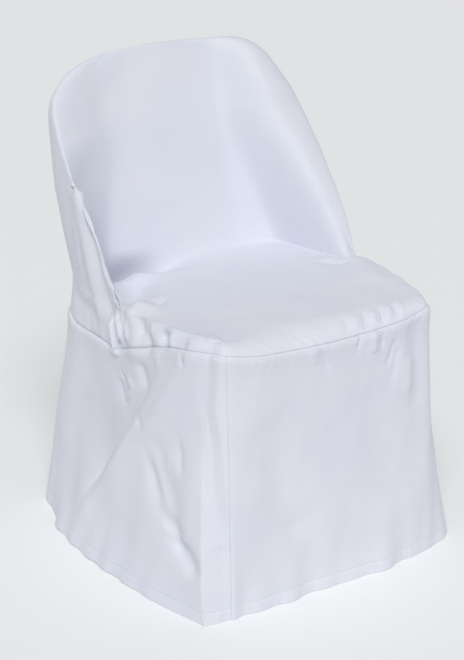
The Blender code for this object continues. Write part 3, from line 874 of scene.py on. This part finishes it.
def side_hollow(points):
    """The lift where the left side of the skirt falls in below its waist seam."""
    top = np.array(HOLLOW_TOP)
    down = unit(np.array(HOLLOW_FOOT) - top)
    aside = (points[:, 1:] - top) @ np.array((-down[1], down[0]))
    waist = np.array(WAIST_FRONT)[::-1]
    below = np.interp(points[:, 1], waist[:, 1], waist[:, 2]) - points[:, 2]
    fall = smooth_step(below / HOLLOW_DEEPEST)
    rise = smooth_step((below - HOLLOW_DEEPEST) / (HOLLOW_END - HOLLOW_DEEPEST))
    start = smooth_step(aside / HOLLOW_TURN)
    end = smooth_step((aside - HOLLOW_REAR) / HOLLOW_FADE)
    depth = HOLLOW_DEPTH * fall * (1 - rise) * start * (1 - end)
    return np.where(points[:, 0] < HOLLOW_SIDE, -depth, 0)


def round_crease(sheet):
    """Ease the line where the seat meets the inside of the back."""
    above = sheet.index("inside_back")[-CREASE_ROWS:]
    below = sheet.index("seat_panel")[1:CREASE_ROWS, DROP:DROP + ACROSS + 1]
    strip = np.concatenate((above, below))
    points = sheet.points[strip]
    for _ in range(CREASE_PASSES):
        points[1:-1] = 0.5 * points[1:-1] + 0.25 * (points[:-2] + points[2:])
    sheet.points[strip] = points


def scaled(creases, strength, side):
    """The same creases, more or less marked; side is -1 for a mirrored copy."""
    return tuple(
        (tuple((side * x, y, z) for x, y, z in path), width, height * strength)
        for path, width, height in creases)


def line_noise(places, wave, dice):
    """Unevenness along a line, of about 1 at most, from places in metres."""
    total = np.zeros_like(places)
    for _ in range(LINE_WAVES):
        length = wave * dice.uniform(*LINE_LENGTHS)
        total += np.sin(2 * pi * places / length + dice.uniform(0, 2 * pi))
    return total / LINE_WAVES ** 0.5


def swells(points, dice):
    """Soft unevenness of the whole sheet, livelier where it hangs free."""
    lift = np.zeros(len(points))
    free = smooth_step((CALM_HEIGHT - points[:, 2]) / (CALM_HEIGHT - LIVELY_HEIGHT))
    for wave, calm, lively in SWELLS:
        total = np.zeros(len(points))
        for _ in range(SWELL_WAVES):
            direction = unit(dice.normal(size=3)) * SWELL_STRETCH
            length = wave * dice.uniform(*SWELL_LENGTHS)
            total += np.sin(points @ direction * 2 * pi / length + dice.uniform(0, 2 * pi))
        lift += (calm + (lively - calm) * free) * total / SWELL_WAVES ** 0.5
    return lift


def border_distances(grid):
    """For each border, each point's distance from it and its place along it, in metres."""
    down = np.linalg.norm(np.diff(grid, axis=0), axis=2).cumsum(axis=0)
    down = np.concatenate((np.zeros((1, grid.shape[1])), down))
    across = np.linalg.norm(np.diff(grid, axis=1), axis=2).cumsum(axis=1)
    across = np.concatenate((np.zeros((grid.shape[0], 1)), across), axis=1)
    return {
        "top": (down, across),
        "bottom": (down[-1] - down, across),
        "left": (across, down),
        "right": (across[:, -1:] - across, down),
    }


def seam_lift(distance, place, seam, dice):
    """A sewn line's groove, the fullness beside it, and the puckers that it pulls."""
    groove, groove_half, fullness, fullness_reach, pucker, reach = seam
    ends = np.minimum(place, place.max() - place)
    tight = 0.5 + 0.5 * np.clip(line_noise(place, TIGHT_WAVE, dice), -1, 1)
    pull = line_noise(place + PUCKER_SLANT * distance, PUCKER_WAVE, dice) * tight
    reaching = np.exp(-distance / reach) * (1 - bell(distance, PUCKER_START))
    full = np.exp(-distance / fullness_reach) - np.exp(-distance / FULLNESS_START)
    lift = fullness * full - groove * bell(distance, groove_half)
    return lift + pucker * pull * reaching * smooth_step(ends / SEAM_END)


def hem_lift(distance, place, dice):
    """The doubled turn-up, its stitched line, and the hem's waves."""
    ends = smooth_step(np.minimum(place, place.max() - place) / SEAM_END)
    turned = HEM_STEP * smooth_step((HEM_TURN - distance) / HEM_STITCH_HALF)
    stitched = HEM_STITCH * bell(distance - HEM_TURN, HEM_STITCH_HALF)
    wave = HEM_WAVE_HEIGHT * line_noise(place, HEM_WAVE, dice) * np.exp(-distance / HEM_WAVE_REACH)
    small = HEM_PUCKER * line_noise(place, PUCKER_WAVE, dice) * bell(distance, HEM_TURN)
    return turned - stitched + (wave + small) * ends


def sewn_lines(sheet, dice):
    """The lift of every panel's seams and hem, as one value for each point of the sheet."""
    lifts = []
    for name, borders in BORDERS.items():
        distances = border_distances(sheet.grid(name))
        lift = 0
        for border, kind in borders.items():
            distance, place = distances[border]
            if kind == "hem":
                lift = lift + hem_lift(distance, place, dice)
            else:
                lift = lift + seam_lift(distance, place, SEAMS[kind], dice)
        lifts.append(lift.ravel())
    return sheet.average(np.concatenate(lifts))


class Nodes:
    """Short ways to add nodes to one material."""

    def __init__(self, material):
        material.use_nodes = True
        self.tree = material.node_tree
        self.shader = self.tree.nodes["Principled BSDF"]

    def add(self, kind, **settings):
        node = self.tree.nodes.new(kind)
        for name, value in settings.items():
            setattr(node, name, value)
        return node

    def join(self, source, target):
        self.tree.links.new(source, target)

    def math(self, operation, *values):
        """A calculation, from numbers and from the outputs of other nodes."""
        node = self.add("ShaderNodeMath", operation=operation)
        for socket, value in zip(node.inputs, values):
            if isinstance(value, bpy.types.NodeSocket):
                self.join(value, socket)
            else:
                socket.default_value = value
        return node.outputs[0]

    def noise(self, vector, scale, detail):
        node = self.add("ShaderNodeTexNoise")
        node.inputs["Scale"].default_value = scale
        node.inputs["Detail"].default_value = detail
        self.join(vector, node.inputs["Vector"])
        return node.outputs["Fac"]

    def bump(self, height, strength, distance, below=None):
        node = self.add("ShaderNodeBump")
        node.inputs["Strength"].default_value = strength
        node.inputs["Distance"].default_value = distance
        self.join(height, node.inputs["Height"])
        if below is not None:
            self.join(below, node.inputs["Normal"])
        return node.outputs["Normal"]

    def layer(self, name):
        """The two numbers that a mesh keeps in one of its maps."""
        parts = self.add("ShaderNodeSeparateXYZ")
        self.join(self.add("ShaderNodeUVMap", uv_map=name).outputs["UV"], parts.inputs[0])
        return parts.outputs["X"], parts.outputs["Y"]


def cloth_material(name):
    """Plain-woven white polyester: faint tone changes, soft sheen, threads and stitching."""
    nodes = Nodes(bpy.data.materials.new(name))
    place = nodes.add("ShaderNodeTexCoord").outputs["Object"]
    along, up = nodes.layer("cloth")
    to_seam, to_hem = nodes.layer("sewing")

    tone = nodes.add("ShaderNodeMix", data_type="RGBA")
    tone.inputs["A"].default_value = (*SHADE_COOL, 1)
    tone.inputs["B"].default_value = (*SHADE_WARM, 1)
    spread = nodes.add("ShaderNodeMapRange")
    nodes.join(nodes.noise(place, TONE_SCALE, 2), spread.inputs["Value"])
    spread.inputs["From Min"].default_value = TONE_FROM
    spread.inputs["From Max"].default_value = TONE_TO
    nodes.join(spread.outputs[0], tone.inputs["Factor"])

    run = nodes.math("FRACT", nodes.math("DIVIDE", along, STITCH))
    dash = nodes.math("LESS_THAN", run, STITCH_SHARE)
    hem_line = nodes.math("COMPARE", to_hem, HEM_TURN, STITCH_HALF)
    seam_line = nodes.math("COMPARE", to_seam, TOPSTITCH, STITCH_HALF)
    stitches = nodes.math("MULTIPLY", dash, nodes.math("MAXIMUM", hem_line, seam_line))
    thread = nodes.add("ShaderNodeMix", data_type="RGBA")
    nodes.join(tone.outputs["Result"], thread.inputs["A"])
    thread.inputs["B"].default_value = (*SHADE_THREAD, 1)
    nodes.join(stitches, thread.inputs["Factor"])
    nodes.join(thread.outputs["Result"], nodes.shader.inputs["Base Color"])

    warp = nodes.math("SINE", nodes.math("MULTIPLY", along, 2 * pi / THREAD))
    weft = nodes.math("SINE", nodes.math("MULTIPLY", up, 2 * pi / THREAD))
    weave = nodes.math("MULTIPLY", warp, weft)
    slub = nodes.noise(place, SLUB_SCALE, 3)
    relief = nodes.bump(weave, 1.0, WEAVE_HEIGHT)
    relief = nodes.bump(slub, SLUB_STRENGTH, SLUB_HEIGHT, relief)
    relief = nodes.bump(stitches, STITCH_STRENGTH, STITCH_HEIGHT, relief)
    nodes.join(relief, nodes.shader.inputs["Normal"])

    uneven = nodes.noise(place, ROUGH_SCALE, 2)
    rough = nodes.math("MULTIPLY_ADD", uneven, ROUGH_RANGE, ROUGH_LEAST)
    nodes.join(rough, nodes.shader.inputs["Roughness"])
    nodes.shader.inputs["Specular IOR Level"].default_value = 0.25
    nodes.shader.inputs["Sheen Weight"].default_value = 0.15
    nodes.shader.inputs["Sheen Roughness"].default_value = 0.45
    return bpy.data.materials[name]


def add_map(mesh, name, first, second, corners):
    """Keep two numbers for each point of a mesh as one of its maps."""
    layer = mesh.uv_layers.new(name=name)
    values = np.stack((np.ravel(first), np.ravel(second)), 1)[corners]
    layer.data.foreach_set("uv", values.ravel())


def add_panel(sheet, name, origin):
    """One panel as a thin piece of cloth in the frame."""
    grid = sheet.grid(name)
    rows, columns = grid.shape[:2]
    index = np.arange(rows * columns).reshape(rows, columns)
    quads = np.stack([index[:-1, :-1], index[1:, :-1], index[1:, 1:], index[:-1, 1:]], -1)
    quads = quads.reshape(-1, 4)
    mesh = bpy.data.meshes.new("cloth_" + name)
    mesh.from_pydata((grid - origin).reshape(-1, 3), [], quads)
    mesh.shade_smooth()

    # Only the skirt's panels are stitched: a metre more puts the other ones' lines out of reach
    distances = border_distances(grid)
    plain = 0 if BORDERS[name]["bottom"] == "hem" else 1
    from_top, from_bottom = distances["top"][0], distances["bottom"][0]
    middle = distances["left"][0][:, columns // 2][:, None]
    corners = quads.ravel()
    add_map(mesh, "cloth", distances["left"][0] - middle, from_bottom, corners)
    add_map(mesh, "sewing", from_top + plain, from_bottom + plain, corners)

    mesh.materials.append(cloth_material("cloth_" + name))
    piece = bpy.data.objects.new("cloth_" + name, mesh)
    bpy.context.scene.collection.objects.link(piece)
    thickness = piece.modifiers.new("thickness", "SOLIDIFY")
    thickness.thickness = CLOTH
    thickness.offset = 0
    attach(piece, "root")
    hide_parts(name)


def add_floor(height):
    bpy.ops.mesh.primitive_plane_add(size=FLOOR_SIZE, location=(0, 0, height))
    floor = bpy.context.object
    floor.name = "floor"
    material = bpy.data.materials.new("floor")
    material.use_nodes = True
    shader = material.node_tree.nodes["Principled BSDF"]
    shader.inputs["Base Color"].default_value = (FLOOR_SHADE, FLOOR_SHADE, FLOOR_SHADE, 1)
    shader.inputs["Roughness"].default_value = 0.9
    floor.data.materials.append(material)


def add_light(name, toward, spread, strength):
    """A broad, even light that comes from a direction; spread is its size as seen, in degrees."""
    data = bpy.data.lights.new(name, "SUN")
    data.angle = radians(spread)
    data.energy = strength
    lamp = bpy.data.objects.new(name, data)
    lamp.rotation_euler = Vector(toward).to_track_quat("Z", "Y").to_euler()
    bpy.context.scene.collection.objects.link(lamp)


def add_sky(colour, strength):
    world = bpy.data.worlds.new("studio")
    world.use_nodes = True
    background = world.node_tree.nodes["Background"]
    background.inputs["Color"].default_value = (*colour, 1)
    background.inputs["Strength"].default_value = strength
    bpy.context.scene.world = world


def add_camera(origin):
    """The photograph's viewpoint."""
    turn, tilt = radians(CAMERA_TURN), radians(CAMERA_TILT)
    back = Vector((sin(turn) * cos(tilt), -cos(turn) * cos(tilt), sin(tilt)))
    right = Vector((cos(turn), sin(turn), 0))
    data = bpy.data.cameras.new("camera")
    data.sensor_width = SENSOR
    data.lens = FOCAL_PIXELS / IMAGE_HEIGHT * SENSOR
    camera = bpy.data.objects.new("camera", data)
    axes = Matrix((right, back.cross(right), back)).transposed().to_4x4()
    camera.matrix_world = Matrix.Translation(Vector(CAMERA_PLACE) - Vector(origin)) @ axes
    bpy.context.scene.collection.objects.link(camera)
    bpy.context.scene.camera = camera


origin = np.array((0, edge_y(POCKET_TOP), -cad_low.z))
sheet = Sheet(lay_out_panels())
dice = np.random.default_rng(SEED)
sheet.points = tug(sheet.points, TUGS)
move_out(sheet, side_hollow(sheet.points))
move_out(sheet, broad_folds(sheet.points, FOLDS))
round_crease(sheet)
creases = CREASES + scaled(GATHERS, GATHERS_LEFT, 1) + scaled(GATHERS, GATHERS_RIGHT, -1)
move_out(sheet, steps_up(sheet, STEPS))
move_out(sheet, sharp_creases(sheet.points, creases) + swells(sheet.points, dice))
move_out(sheet, sewn_lines(sheet, dice))
for name in sheet.panels:
    add_panel(sheet, name, origin)

add_floor(cad_low.z)
add_camera(origin)
add_light("key", KEY_TOWARD, KEY_SPREAD, KEY_STRENGTH)
add_sky(SKY_SHADE, SKY_STRENGTH)
bpy.context.scene.view_settings.view_transform = "Standard"
